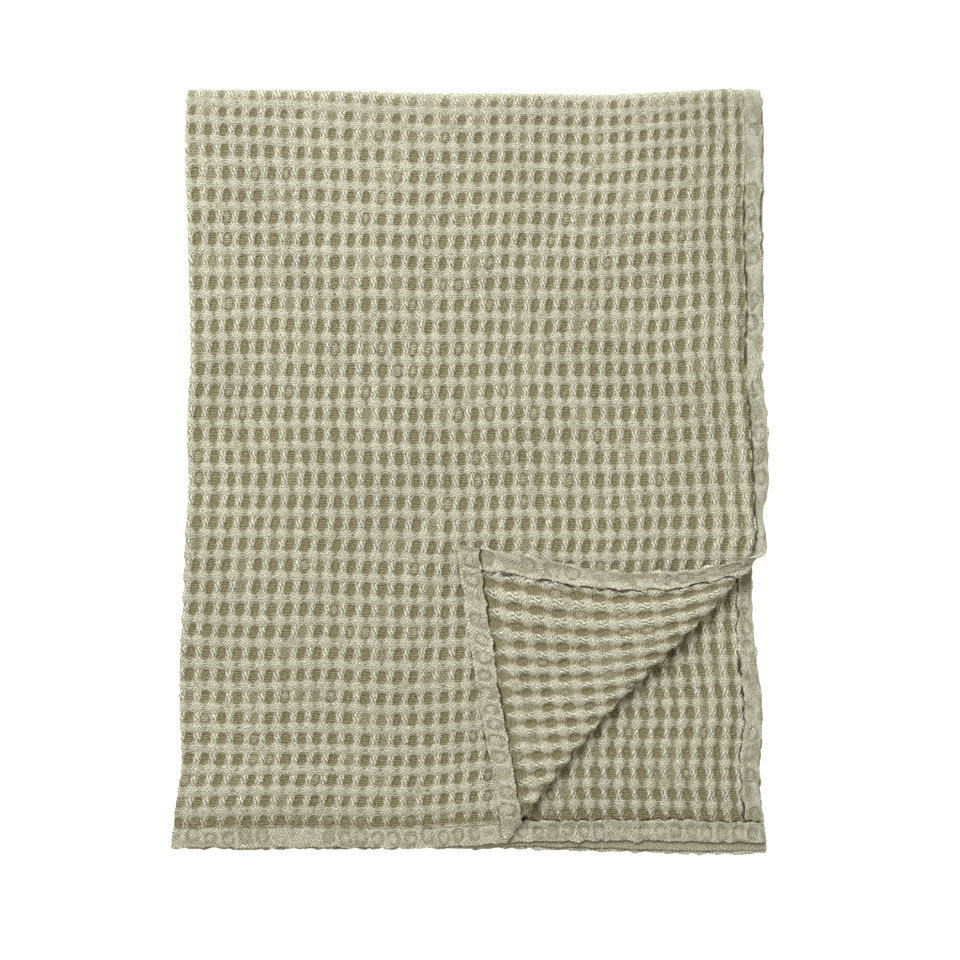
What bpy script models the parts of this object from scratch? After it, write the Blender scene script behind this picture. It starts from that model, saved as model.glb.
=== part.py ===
"""Waffle weave cotton blanket, folded in four with one corner turned back.

The whole blanket is one hemmed cloth. It is cut here as one flat slab, scored along its
fold lines, and then folded: left half under, top half under, and last the lower right
corner of the top layer rolled over along a slanting crease. Lengths are in metres, +Z up,
and the stack rests on Z = 0.
"""
import math

import bmesh
import bpy
import numpy as np

MM = 0.001

# ---- the cloth ----
HALF_WIDTH = 375.5 * MM          # left fold to side hem
HALF_LENGTH = 496.0 * MM         # top fold to end hem
BODY_THICKNESS = 2.6 * MM
HEM_THICKNESS = 3.1 * MM         # the doubled band is a little fuller
HEM_WIDTH = 14.0 * MM
HEM_STEP = 2.5 * MM              # width over which the band swells
CORNER_RADIUS = 3.0 * MM

# ---- the fold ----
LAYER_PITCH = 3.4 * MM           # mid layer to mid layer
SIDE_RADIUS = LAYER_PITCH / 2    # left fold, at the middle of the cloth
TOP_RADIUS = LAYER_PITCH         # top fold, at the middle of the two layers it bends
SIDE_ARC = math.pi * SIDE_RADIUS
TOP_ARC = math.pi * TOP_RADIUS
ORIGIN_X = -181.0 * MM           # plan position of the left fold's tangent line
ORIGIN_Y = 242.8 * MM            # plan position of the top fold's tangent line
UNDERSIDE = 3 * SIDE_RADIUS + BODY_THICKNESS / 2

# ---- the turned corner, in plan ----
CREASE_LOW = np.array([26.7, -244.7]) * MM     # where the crease leaves the bottom hem
CREASE_HIGH = np.array([199.8, -34.8]) * MM    # where it leaves the side hem
ROLL_LOW = 2.0 * MM              # roll radius at the bottom hem
ROLL_HIGH = 5.2 * MM             # roll radius at the side hem
SETTLE = 55.0 * MM               # run over which the flap comes down onto the cloth
CREASE_BOW = 6.4 * MM            # the crease is bowed towards the flap
CREASE_SWAY = 2.8 * MM           # and more so in its lower half
BOW_REACH = 70.0 * MM
FLAP_CLIMB = 0.264               # pull along the crease, per unit away from it
FLAP_REACH = 0.311               # stretch away from the crease
FLAP_EASE = 18.0 * MM
FLAP_SAG = 9.8 * MM              # dip of the turned side hem between its ends
SAG_EARLY = 0.20                 # how much nearer the roll the dip is deepest
SAG_SPAN = 125.0 * MM
SAG_REACH = 70.0 * MM

# ---- resting unevenness ----
SWELL = 0.9 * MM                 # soft rise and fall of the top layer

# How the side edges wander, from the top fold down. Shifts to the right, in mm.
SIDE_ROWS = (
    # down,  left fold, top layer hem, under layers hem
    (0.00, -0.8, -1.2, -1.2),
    (0.07, -1.8, -1.4, -0.2),
    (0.17, -0.4, -2.4, -1.0),
    (0.27, 0.8, -0.5, -0.6),
    (0.34, 1.6, -1.4, -1.6),
    (0.44, -0.6, 2.4, -2.6),
    (0.52, -0.2, 3.4, -5.0),
    (0.57, -2.0, 3.2, -7.0),
    (0.62, -3.4, 0.2, -8.0),
    (0.67, -4.2, 1.0, -8.0),
    (0.74, -5.4, 1.2, -5.0),
    (0.81, -5.2, 0.0, -0.4),
    (0.88, -4.2, 0.0, -3.0),
    (0.94, -8.6, 0.0, -1.2),
    (1.00, -12.0, 0.0, 3.4),
)

# How the top and bottom edges wander, from the left fold across. Shifts upwards, in mm.
END_ROWS = (
    # across, top fold, top layer hem, second layer hem, third and fourth
    (0.00, 0.4, 1.8, 1.8, 1.0),
    (0.20, 0.0, 2.4, 3.4, 0.6),
    (0.40, -2.0, 2.0, 5.4, 1.2),
    (0.55, -2.4, 4.6, 6.0, 0.8),
    (0.72, -3.0, 3.4, 6.4, -0.6),
    (0.85, -1.0, 3.0, 6.2, -2.2),
    (0.93, 0.6, 3.0, 5.6, -2.6),
    (1.00, -0.4, 3.0, 5.2, -1.8),
)


def through(place, rows, column):
    """A smooth curve through one column of a table of rows."""
    table = np.array(rows)
    knots = table[:, 0]
    values = table[:, column] * MM
    slopes = np.gradient(values, knots)
    place = np.clip(place, knots[0], knots[-1])
    row = np.clip(np.searchsorted(knots, place) - 1, 0, len(knots) - 2)
    step = knots[row + 1] - knots[row]
    t = (place - knots[row]) / step
    return (
        values[row] * (1 + 2 * t) * (1 - t) ** 2
        + slopes[row] * step * t * (1 - t) ** 2
        + values[row + 1] * t * t * (3 - 2 * t)
        + slopes[row + 1] * step * t * t * (t - 1)
    )


def eased(value):
    """Zero to one, level at both ends."""
    value = np.clip(value, 0.0, 1.0)
    return value * value * (3 - 2 * value)


def bend_side(u, w):
    """Left fold: the half with u below zero goes under. Gives across and height."""
    turn = np.clip(u / SIDE_RADIUS, -math.pi / 2, math.pi / 2)
    past = np.maximum(np.abs(u) - SIDE_ARC / 2, 0.0)
    across = past - (SIDE_RADIUS + w) * np.cos(turn)
    height = (SIDE_RADIUS + w) * np.sin(turn)
    return across, height


def bend_top(v, height):
    """Top fold: the half with v above zero goes under. Gives along and height."""
    turn = np.clip(-v / TOP_RADIUS, -math.pi / 2, math.pi / 2)
    past = np.maximum(np.abs(v) - TOP_ARC / 2, 0.0)
    along = (TOP_RADIUS + height) * np.cos(turn) - past
    level = (TOP_RADIUS + height) * np.sin(turn)
    return along, level


def crease_frame():
    """Length of the crease, and its unit directions along and outwards."""
    run = CREASE_HIGH - CREASE_LOW
    length = math.hypot(run[0], run[1])
    along = run / length
    outward = np.array([along[1], -along[0]])
    return length, along, outward


def roll_radius(s, length):
    """Roll radius at a distance along the crease."""
    share = np.clip(s / length, -0.1, 1.1)
    return ROLL_LOW + (ROLL_HIGH - ROLL_LOW) * share


def turn_corner(x, y, w, z):
    """Roll the cloth beyond the crease up and back onto itself."""
    length, along, outward = crease_frame()
    s = (x - CREASE_LOW[0]) * along[0] + (y - CREASE_LOW[1]) * along[1]
    d = (x - CREASE_LOW[0]) * outward[0] + (y - CREASE_LOW[1]) * outward[1]
    radius = roll_radius(s, length)
    middle = z - w
    turn = np.clip(d / radius, 0.0, math.pi)
    past = np.maximum(d - math.pi * radius, 0.0)
    eased_past = past * past / (past + FLAP_EASE)
    reach = np.where(d < 0, d, (radius - w) * np.sin(turn) - past - FLAP_REACH * eased_past)
    climb = s + FLAP_CLIMB * eased_past
    drop = (2 * radius - LAYER_PITCH) * eased(past / SETTLE)
    level = middle + radius - (radius - w) * np.cos(turn) - drop
    share = np.clip(climb / length, 0, 1)
    bow = CREASE_BOW * np.sin(math.pi * share) + CREASE_SWAY * np.sin(2 * math.pi * share)
    reach = reach - bow * np.exp(-((reach / BOW_REACH) ** 2))
    new_x = CREASE_LOW[0] + climb * along[0] + reach * outward[0]
    new_y = CREASE_LOW[1] + climb * along[1] + reach * outward[1]
    run = np.clip(past / SAG_SPAN, 0, 1)
    dip = np.sin(math.pi * run) + SAG_EARLY * np.sin(2 * math.pi * run)
    from_hem = np.maximum(ORIGIN_X + HALF_WIDTH - SIDE_ARC / 2 - x - HEM_WIDTH, 0.0)
    new_y = new_y - FLAP_SAG * dip * np.exp(-((from_hem / SAG_REACH) ** 2))
    return new_x, new_y, np.where(d < 0, z, level)


def fold(u, v, w):
    """Where a point of the flat cloth lies once folded. w is measured towards the face."""
    across, height = bend_side(u, w)
    along, level = bend_top(v, height)
    x = ORIGIN_X + across
    y = ORIGIN_Y + along
    z = level + UNDERSIDE
    top_layer = (u > SIDE_ARC) & (v < -TOP_ARC)
    turned = turn_corner(x, y, w, z)
    x = np.where(top_layer, turned[0], x)
    y = np.where(top_layer, turned[1], y)
    z = np.where(top_layer, turned[2], z)

    share_across = np.clip((x - ORIGIN_X) / HALF_WIDTH, 0, 1)
    share_down = np.clip((ORIGIN_Y - y) / HALF_LENGTH, 0, 1)
    over = (u > 0) & (v < 0)
    second = (u <= 0) & (v < 0)
    hem_shift = np.where(over, through(share_down, SIDE_ROWS, 2), through(share_down, SIDE_ROWS, 3))
    end_shift = np.where(over, through(share_across, END_ROWS, 2), through(share_across, END_ROWS, 4))
    end_shift = np.where(second, through(share_across, END_ROWS, 3), end_shift)
    left_shift = through(share_down, SIDE_ROWS, 1)
    top_shift = through(share_across, END_ROWS, 1)
    x = x + left_shift * (1 - share_across) + hem_shift * share_across
    y = y + top_shift * (1 - share_down) + end_shift * share_down

    wave = np.sin(19 * x + 7 * y + 0.6) * np.sin(15 * y - 6 * x + 1.1)
    wave = wave + 0.6 * np.sin(31 * y + 12 * x) * np.sin(23 * x + 2.0)
    lift = np.clip((z - LAYER_PITCH) / (3 * LAYER_PITCH), 0, 1.3)
    z = z + SWELL * (0.5 + 0.5 * wave) * lift
    pressed = np.maximum(z, 0.0)     # hem bands underneath are pressed level with the cloth
    return x, y, pressed


def score(cloth, point, normal, faces):
    """Cut a line across some faces of the flat cloth."""
    parts = set(faces)
    for face in faces:
        parts.update(face.edges)
        parts.update(face.verts)
    bmesh.ops.bisect_plane(cloth, geom=list(parts), dist=1e-6, plane_co=point, plane_no=normal)


def top_quarter(cloth):
    """Faces of the flat cloth that become the top layer, clear of its two folds."""
    chosen = []
    for face in cloth.faces:
        middle = face.calc_center_median()
        if middle.x > SIDE_ARC and middle.y < -TOP_ARC:
            chosen.append(face)
    return chosen


def flat_cloth():
    """The flat cloth, scored where it will bend."""
    cloth = bmesh.new()
    bmesh.ops.create_grid(cloth, x_segments=22, y_segments=28, size=1.0)
    bmesh.ops.scale(cloth, vec=(HALF_WIDTH, HALF_LENGTH, 1.0), verts=cloth.verts)
    for k in range(9):
        offset = SIDE_ARC * (k / 8 - 0.5)
        score(cloth, (offset, 0, 0), (1, 0, 0), cloth.faces[:])
    for k in range(11):
        offset = TOP_ARC * (k / 10 - 0.5)
        score(cloth, (0, offset, 0), (0, 1, 0), cloth.faces[:])
    for inset in (HEM_WIDTH, HEM_WIDTH + HEM_STEP):
        for side in (-1, 1):
            score(cloth, (side * (HALF_WIDTH - inset), 0, 0), (1, 0, 0), cloth.faces[:])
            score(cloth, (0, side * (HALF_LENGTH - inset), 0), (0, 1, 0), cloth.faces[:])
    length, along, outward = crease_frame()
    to_flat = np.array([SIDE_ARC / 2 - ORIGIN_X, -TOP_ARC / 2 - ORIGIN_Y])
    rolls = [(k / 8, 0.0) for k in range(9)]
    rolls += [(1.0, 10.0 * MM), (1.0, 26.0 * MM), (1.0, 44.0 * MM)]
    for share, beyond in rolls:
        low = CREASE_LOW + outward * (share * math.pi * ROLL_LOW + beyond) + to_flat
        high = CREASE_HIGH + outward * (share * math.pi * ROLL_HIGH + beyond) + to_flat
        line = high - low
        score(cloth, (low[0], low[1], 0), (line[1], -line[0], 0), top_quarter(cloth))
    return cloth


def thick_cloth(cloth):
    """Give the flat cloth its thickness, with rounded corners and a rounded rim."""
    corners = [v for v in cloth.verts
               if abs(v.co.x) > HALF_WIDTH - 1e-6 and abs(v.co.y) > HALF_LENGTH - 1e-6]
    bmesh.ops.bevel(cloth, geom=corners, offset=CORNER_RADIUS, segments=3, profile=0.5,
                    affect="VERTICES", offset_type="OFFSET")
    skin = bpy.data.meshes.new("flat_skin")
    cloth.to_mesh(skin)
    cloth.free()
    flat = bpy.data.objects.new("flat_cloth", skin)
    bpy.context.scene.collection.objects.link(flat)
    solidify = flat.modifiers.new("thickness", "SOLIDIFY")
    solidify.thickness = BODY_THICKNESS
    solidify.offset = 0.0
    bpy.context.view_layer.update()
    shell = bpy.data.meshes.new_from_object(flat.evaluated_get(bpy.context.evaluated_depsgraph_get()))
    bpy.data.objects.remove(flat)
    slab = bmesh.new()
    slab.from_mesh(shell)
    rim = [e for e in slab.edges if len(e.link_faces) == 2 and e.calc_face_angle() > 1.0
           and abs(e.verts[0].co.z - e.verts[1].co.z) < 1e-6]
    bmesh.ops.bevel(slab, geom=rim, offset=0.36 * BODY_THICKNESS, segments=2, profile=0.5,
                    affect="EDGES", offset_type="OFFSET", clamp_overlap=True)
    return slab


def fold_cloth(slab, mesh):
    """Swell the hem bands, fold the slab and centre it over the origin."""
    slab.to_mesh(mesh)
    slab.free()
    flat = np.zeros(len(mesh.vertices) * 3)
    mesh.vertices.foreach_get("co", flat)
    u, v, w = flat.reshape(-1, 3).T
    edge = np.minimum(HALF_WIDTH - np.abs(u), HALF_LENGTH - np.abs(v))
    band = 1 - eased((edge - HEM_WIDTH) / HEM_STEP)
    w = w * (1 + (HEM_THICKNESS / BODY_THICKNESS - 1) * band)
    folded = np.stack(fold(u, v, w), axis=1)
    folded[:, :2] -= (folded[:, :2].min(axis=0) + folded[:, :2].max(axis=0)) / 2
    mesh.vertices.foreach_set("co", folded.ravel())
    mesh.update()


def cotton():
    """Soft matt sage cotton."""
    material = bpy.data.materials.new("waffle_cotton")
    material.use_nodes = True
    shader = material.node_tree.nodes["Principled BSDF"]
    shader.inputs["Base Color"].default_value = (0.43, 0.41, 0.27, 1.0)
    shader.inputs["Roughness"].default_value = 0.92
    shader.inputs["Metallic"].default_value = 0.0
    return material


def main():
    for thing in list(bpy.data.objects):
        bpy.data.objects.remove(thing)
    collection = bpy.data.collections.new("waffle_blanket")
    bpy.context.scene.collection.children.link(collection)
    mesh = bpy.data.meshes.new("blanket")
    fold_cloth(thick_cloth(flat_cloth()), mesh)
    blanket = bpy.data.objects.new("blanket", mesh)
    collection.objects.link(blanket)
    mesh.materials.append(cotton())
    mesh.shade_smooth()
    print("blanket size in mm:", [round(side / MM, 1) for side in blanket.dimensions])


main()
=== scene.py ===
# %% [markdown]
# # A waffle weave cot blanket, folded into quarters with one corner turned back
# The real thing is one rectangle of cotton cloth, about 75 x 99 cm, hemmed all round. It is
# folded twice and laid flat, and one corner of the top layer is rolled back over itself.
# Everything here is worked out in the flat cloth first, where weaving and sewing are simple,
# and only then folded. Lengths are in metres and the stack rests on Z = 0.

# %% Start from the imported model
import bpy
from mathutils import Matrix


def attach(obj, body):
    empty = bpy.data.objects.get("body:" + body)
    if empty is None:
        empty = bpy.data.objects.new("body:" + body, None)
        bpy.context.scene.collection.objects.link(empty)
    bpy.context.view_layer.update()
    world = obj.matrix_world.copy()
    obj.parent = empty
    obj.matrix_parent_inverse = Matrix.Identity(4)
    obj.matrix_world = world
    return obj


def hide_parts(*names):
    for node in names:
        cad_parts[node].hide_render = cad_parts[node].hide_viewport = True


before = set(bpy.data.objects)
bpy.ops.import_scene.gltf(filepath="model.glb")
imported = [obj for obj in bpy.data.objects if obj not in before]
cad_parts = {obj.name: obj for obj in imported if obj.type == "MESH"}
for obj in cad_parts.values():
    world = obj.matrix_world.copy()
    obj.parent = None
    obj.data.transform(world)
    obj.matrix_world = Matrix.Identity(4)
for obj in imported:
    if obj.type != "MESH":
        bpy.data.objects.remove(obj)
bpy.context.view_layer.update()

import math

import bpy
import numpy as np

MM = 0.001

# %% [markdown]
# ## Sizes of the cloth and of its folds
# The blanket is measured as a maker would: half its width and length, the hem, the layer
# spacing of the folded stack, and the radius at which each fold bends the middle of the cloth.
# A fold that wraps two layers has twice the radius of a fold that wraps one.

# %% Cloth and fold sizes
HALF_WIDTH = 375.5 * MM
HALF_LENGTH = 496.0 * MM
HEM_WIDTH = 14.0 * MM
LAYER_PITCH = 3.4 * MM
SIDE_RADIUS = LAYER_PITCH / 2
TOP_RADIUS = LAYER_PITCH
SIDE_ARC = math.pi * SIDE_RADIUS
TOP_ARC = math.pi * TOP_RADIUS
ORIGIN_X = -181.0 * MM    # the middle of the cloth, at the corner where both folds meet
ORIGIN_Y = 242.8 * MM
UNDERSIDE = 3 * SIDE_RADIUS + 1.3 * MM

CREASE_LOW = np.array([26.7, -244.7]) * MM
CREASE_HIGH = np.array([199.8, -34.8]) * MM
CREASE_LENGTH = math.hypot(*(CREASE_HIGH - CREASE_LOW))
CREASE_ALONG = (CREASE_HIGH - CREASE_LOW) / CREASE_LENGTH
CREASE_OUT = np.array([CREASE_ALONG[1], -CREASE_ALONG[0]])
ROLL_LOW = 2.0 * MM       # radius of the corner's roll at each end of its crease
ROLL_HIGH = 5.2 * MM
SETTLE = 55.0 * MM        # how far past the roll the corner comes to lie flat
CREASE_BOW = 6.4 * MM     # how far the roll bows out in its middle, and sways as an S
CREASE_SWAY = 2.8 * MM
BOW_REACH = 70.0 * MM
FLAP_CLIMB = 0.264        # how far the corner is dragged along its crease, and back
FLAP_REACH = 0.311
FLAP_EASE = 18.0 * MM
FLAP_SAG = 9.8 * MM       # how far the turned side hem sags between its ends
SAG_EARLY = 0.20
SAG_SPAN = 125.0 * MM
SAG_REACH = 70.0 * MM
SWELL = 0.9 * MM          # the height of the slow waves
THIRD_SHORT = 2.4 * MM    # how far the third layer ends before the fourth
EDGE_PRESS = 0.38         # how much thinner the stack is at its open end
PRESS_FROM = 0.93         # where it starts to be, as a share of the way down
PRESS_EASE = 0.05
print("layers are", LAYER_PITCH / MM, "mm apart, the stack is about", round(4 * LAYER_PITCH / MM, 1))

# %% [markdown]
# ## How the edges wander
# Laid cloth is never straight. Each table has a row for each place along an edge and a named
# column for each layer, and a smooth curve is drawn through each column.

# %% Edge tables, in mm
SIDE_ROWS = (
    # down,  left fold, top layer hem, under layers hem
    (0.00, -0.8, -1.2, -1.2),
    (0.07, -1.8, -1.4, -0.2),
    (0.17, -0.4, -2.4, -1.0),
    (0.27, 0.8, -0.5, -0.6),
    (0.34, 1.6, -1.4, -1.6),
    (0.44, -0.6, 2.4, -2.6),
    (0.52, -0.2, 3.4, -5.0),
    (0.57, -2.0, 3.2, -7.0),
    (0.62, -3.4, 0.2, -8.0),
    (0.67, -4.2, 1.0, -8.0),
    (0.74, -5.4, 1.2, -5.0),
    (0.81, -5.2, 0.0, -0.4),
    (0.88, -4.2, 0.0, -3.0),
    (0.94, -8.6, 0.0, -1.2),
    (1.00, -12.0, 0.0, 3.4),
)
END_ROWS = (
    # across, top fold, top layer hem, second layer hem, third and fourth
    (0.00, 0.4, 1.8, 1.8, 1.0),
    (0.20, 0.0, 2.4, 3.4, 0.6),
    (0.40, -2.0, 2.0, 5.4, 1.2),
    (0.55, -2.4, 4.6, 6.0, 0.8),
    (0.72, -3.0, 3.4, 6.4, -0.6),
    (0.85, -1.0, 3.0, 6.2, -2.2),
    (0.93, 0.6, 3.0, 5.6, -2.6),
    (1.00, -0.4, 3.0, 5.2, -1.8),
)


def curves(place, rows):
    """Curves through the columns of a table of mm: cubic between rows, one slope at each row."""
    table = np.array(rows)
    knots = table[:, 0]
    place = np.clip(place, knots[0], knots[-1])
    row = np.clip(np.searchsorted(knots, place) - 1, 0, len(knots) - 2)
    step = knots[row + 1] - knots[row]
    t = (place - knots[row]) / step
    found = []
    for values in table[:, 1:].T * MM:
        slopes = np.gradient(values, knots)
        found.append(values[row] * (1 + 2 * t) * (1 - t) ** 2
                     + slopes[row] * step * t * (1 - t) ** 2
                     + values[row + 1] * t * t * (3 - 2 * t)
                     + slopes[row + 1] * step * t * t * (t - 1))
    return found


def eased(value):
    """Zero to one, level at both ends: 3t^2 - 2t^3."""
    value = np.clip(value, 0.0, 1.0)
    return value * value * (3 - 2 * value)


def dip(place, middle, width):
    """A smooth hump of height 1: exp(-((place - middle) / width)^2)."""
    return np.exp(-(((place - middle) / width) ** 2))


def crown(distance, flat=2.0, sides=0.5):
    """A rounded top, 1 in the middle and 0 from distance 1 on: (1 - distance^flat)^sides."""
    return (1 - np.clip(distance, 0, 1) ** flat) ** sides


def reach(x, y, power=2.0):
    """Distance from a middle: (|x|^power + |y|^power)^(1/power). 1 is a diamond, 2 an oval."""
    return (np.abs(x) ** power + np.abs(y) ** power) ** (1 / power)


print(len(SIDE_ROWS), "rows down and", len(END_ROWS), "across")

# %% [markdown]
# ## Folding
# A fold is a function from the flat cloth to where it lies. Inside the fold's arc the cloth runs
# round a circle, and past it straight on. `w` is the height above the middle of the cloth on
# its face side, so relief and hems go round the folds with it. The corner rolls over a slanting
# crease with a radius that grows towards the side hem, then settles onto the cloth below.

# %% Fold functions
def bend_side(u, w):
    """Left fold: turn = u / radius, across = past - (radius + w) cos(turn)."""
    turn = np.clip(u / SIDE_RADIUS, -math.pi / 2, math.pi / 2)
    past = np.maximum(np.abs(u) - SIDE_ARC / 2, 0.0)
    across = past - (SIDE_RADIUS + w) * np.cos(turn)
    height = (SIDE_RADIUS + w) * np.sin(turn)
    return across, height


def bend_top(v, height):
    """Top fold, round both layers: along = (radius + height) cos(turn) - past."""
    turn = np.clip(-v / TOP_RADIUS, -math.pi / 2, math.pi / 2)
    past = np.maximum(np.abs(v) - TOP_ARC / 2, 0.0)
    along = (TOP_RADIUS + height) * np.cos(turn) - past
    level = (TOP_RADIUS + height) * np.sin(turn)
    return along, level


def crease_place(x, y):
    """Distance along the crease and outwards from it, for points in plan."""
    from_x = x - CREASE_LOW[0]
    from_y = y - CREASE_LOW[1]
    along = from_x * CREASE_ALONG[0] + from_y * CREASE_ALONG[1]
    outward = from_x * CREASE_OUT[0] + from_y * CREASE_OUT[1]
    return along, outward


def turn_corner(x, y, z, w):
    """Roll what lies beyond the crease: out = (radius - w) sin(turn), then back and down."""
    s, d = crease_place(x, y)
    radius = ROLL_LOW + (ROLL_HIGH - ROLL_LOW) * np.clip(s / CREASE_LENGTH, -0.1, 1.1)
    turn = np.clip(d / radius, 0.0, math.pi)
    past = np.maximum(d - math.pi * radius, 0.0)
    eased_past = past * past / (past + FLAP_EASE)
    out = np.where(d < 0, d, (radius - w) * np.sin(turn) - past - FLAP_REACH * eased_past)
    climb = s + FLAP_CLIMB * eased_past
    drop = (2 * radius - LAYER_PITCH) * eased(past / SETTLE)
    level = z - w + radius - (radius - w) * np.cos(turn) - drop
    share = np.clip(climb / CREASE_LENGTH, 0, 1)
    bow = CREASE_BOW * np.sin(math.pi * share) + CREASE_SWAY * np.sin(2 * math.pi * share)
    out = out - bow * dip(out, 0.0, BOW_REACH)
    new_x = CREASE_LOW[0] + climb * CREASE_ALONG[0] + out * CREASE_OUT[0]
    new_y = CREASE_LOW[1] + climb * CREASE_ALONG[1] + out * CREASE_OUT[1]
    run = np.clip(past / SAG_SPAN, 0, 1)
    sag = np.sin(math.pi * run) + SAG_EARLY * np.sin(2 * math.pi * run)
    from_hem = np.maximum(ORIGIN_X + HALF_WIDTH - SIDE_ARC / 2 - x - HEM_WIDTH, 0.0)
    new_y = new_y - FLAP_SAG * sag * dip(from_hem, 0.0, SAG_REACH)
    return new_x, new_y, np.where(d < 0, z, level)


def fold(u, v, w):
    """Where a point of the flat cloth lies once folded, with what makes its edges wander."""
    across, height = bend_side(u, w)
    along, level = bend_top(v, height)
    flat = (ORIGIN_X + across, ORIGIN_Y + along, level + UNDERSIDE)
    top_layer = (u > SIDE_ARC) & (v < -TOP_ARC)
    x, y, z = [np.where(top_layer, turned, place) for turned, place in zip(turn_corner(*flat, w), flat)]
    share_across = np.clip((x - ORIGIN_X) / HALF_WIDTH, 0, 1)
    share_down = np.clip((ORIGIN_Y - y) / HALF_LENGTH, 0, 1)
    over = (u > 0) & (v < 0)
    second = (u <= 0) & (v < 0)
    left_shift, hem_over, hem_under = curves(share_down, SIDE_ROWS)
    top_shift, end_over, end_second, end_under = curves(share_across, END_ROWS)
    hem_shift = np.where(over, hem_over, hem_under)
    end_shift = np.where(over, end_over, np.where(second, end_second, end_under))
    end_shift = end_shift + THIRD_SHORT * ((u <= 0) & (v > 0))
    x = x + left_shift * (1 - share_across) + hem_shift * share_across
    y = y + top_shift * (1 - share_down) + end_shift * share_down
    # two slow waves, weaker down the stack
    wave = np.sin(19 * x + 7 * y + 0.6) * np.sin(15 * y - 6 * x + 1.1)
    wave = wave + 0.6 * np.sin(31 * y + 12 * x) * np.sin(23 * x + 2.0)
    lift = np.clip((z - LAYER_PITCH) / (3 * LAYER_PITCH), 0, 1.3)
    z = z + SWELL * (0.5 + 0.5 * wave) * lift
    z = z * (1 - EDGE_PRESS * eased((share_down - PRESS_FROM) / PRESS_EASE))
    return x, y, np.maximum(z, 0.0)


# the solid model is centred over its own footprint, so its outline gives the same shift here
outline_u, outline_v = np.meshgrid(np.linspace(-HALF_WIDTH, HALF_WIDTH, 400),
                                   np.linspace(-HALF_LENGTH, HALF_LENGTH, 500))
outline_x, outline_y = fold(outline_u, outline_v, 1.4 * MM)[:2]
CENTRE_X = (outline_x.min() + outline_x.max()) / 2
CENTRE_Y = (outline_y.min() + outline_y.max()) / 2
print("footprint centre, mm:", round(CENTRE_X / MM, 2), round(CENTRE_Y / MM, 2))

# %% [markdown]
# ## Chance, seeded
# Hand-laid washed cotton is irregular, so sizes and places vary from cell to cell. Two kinds
# of chance are enough: one value for each cell, and a smooth field that drifts from cell to
# cell. Both come from fixed seeds, so that the blanket is the same each time.

# %% Chance by cell and smooth chance
CHANCE_SIZE = 160


def chance_table(seed):
    """A square table of even random numbers from 0 to 1."""
    return np.random.default_rng(seed).random((CHANCE_SIZE, CHANCE_SIZE))


def chance_at(name, column, row):
    """The number of one table for a whole column and row, wrapping round."""
    column = np.mod(column, CHANCE_SIZE).astype(int)
    row = np.mod(row, CHANCE_SIZE).astype(int)
    return TABLES[name][column, row]


def drift(name, x, y):
    """Smooth chance from -1 to 1: eased mixing of the four numbers round a point."""
    x0 = np.floor(x)
    y0 = np.floor(y)
    tx = eased(x - x0)
    ty = eased(y - y0)
    low = chance_at(name, x0, y0) * (1 - tx) + chance_at(name, x0 + 1, y0) * tx
    high = chance_at(name, x0, y0 + 1) * (1 - tx) + chance_at(name, x0 + 1, y0 + 1) * tx
    return 2 * (low * (1 - ty) + high * ty) - 1


TABLES = {name: chance_table(seed) for seed, name in enumerate(
    ("blob", "cord", "well", "popped", "dimple", "sway", "wander_x", "wander_y", "hem", "tone",
     "lump", "edge"), start=11)}
print(len(TABLES), "chance tables of", CHANCE_SIZE, "squared")

# %% [markdown]
# ## The waffle lattice
# Waffle cloth is a lattice of cells about 10 x 14 mm. Columns and rows aren't straight: the
# cloth was dragged as it was laid, so the columns lean one way and then the other, and the
# rows crowd together under the top fold. One table says how far the columns have drifted to
# the right, at four places from the left fold to the hem, and how far the rows have been
# pushed up, at three.

# %% Lattice coordinates
CELL_WIDE = 10.05 * MM
CELL_TALL = 14.05 * MM
COLUMN_CROWD = 0.035      # columns are a little closer towards the hem
LATTICE_ROWS = (
    # down, columns drift: at left fold, a third, two thirds, at hem; rows pushed: left, middle, hem
    (0.00, -0.8, -1.7, 1.2, -12.5, 4.0, 0.0, -2.0),
    (0.05, 0.0, -1.2, 1.2, -12.5, 9.0, 5.5, 8.6),
    (0.12, 1.9, 0.0, 0.7, -11.6, 9.4, 7.8, 10.5),
    (0.25, 2.6, -2.2, -3.0, -10.2, 8.1, 8.3, 10.1),
    (0.38, 2.2, -2.4, -4.2, -8.7, 6.8, 6.8, 8.4),
    (0.51, 2.7, -1.1, -3.1, -7.4, 6.3, 5.0, 6.0),
    (0.64, 4.9, 1.0, 1.5, -4.0, 6.4, 3.6, 4.0),
    (0.78, 1.5, 1.1, 1.5, -3.0, 5.2, 2.8, 4.2),
    (0.92, -1.2, 1.1, 1.8, -3.0, 5.7, 6.3, 6.0),
    (1.00, -3.5, 3.3, 2.6, -3.0, 7.0, 8.4, 8.4),
)


def between(share, values):
    """The curve through values spaced evenly from 0 to 1, as a sum of one term for each value.

    A term is the value x the product of (share - other) / (place - other) over other places.
    """
    places = np.linspace(0, 1, len(values))
    total = 0
    for place, value in zip(places, values):
        for other in places[places != place]:
            value = value * (share - other) / (place - other)
        total = total + value
    return total


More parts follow.
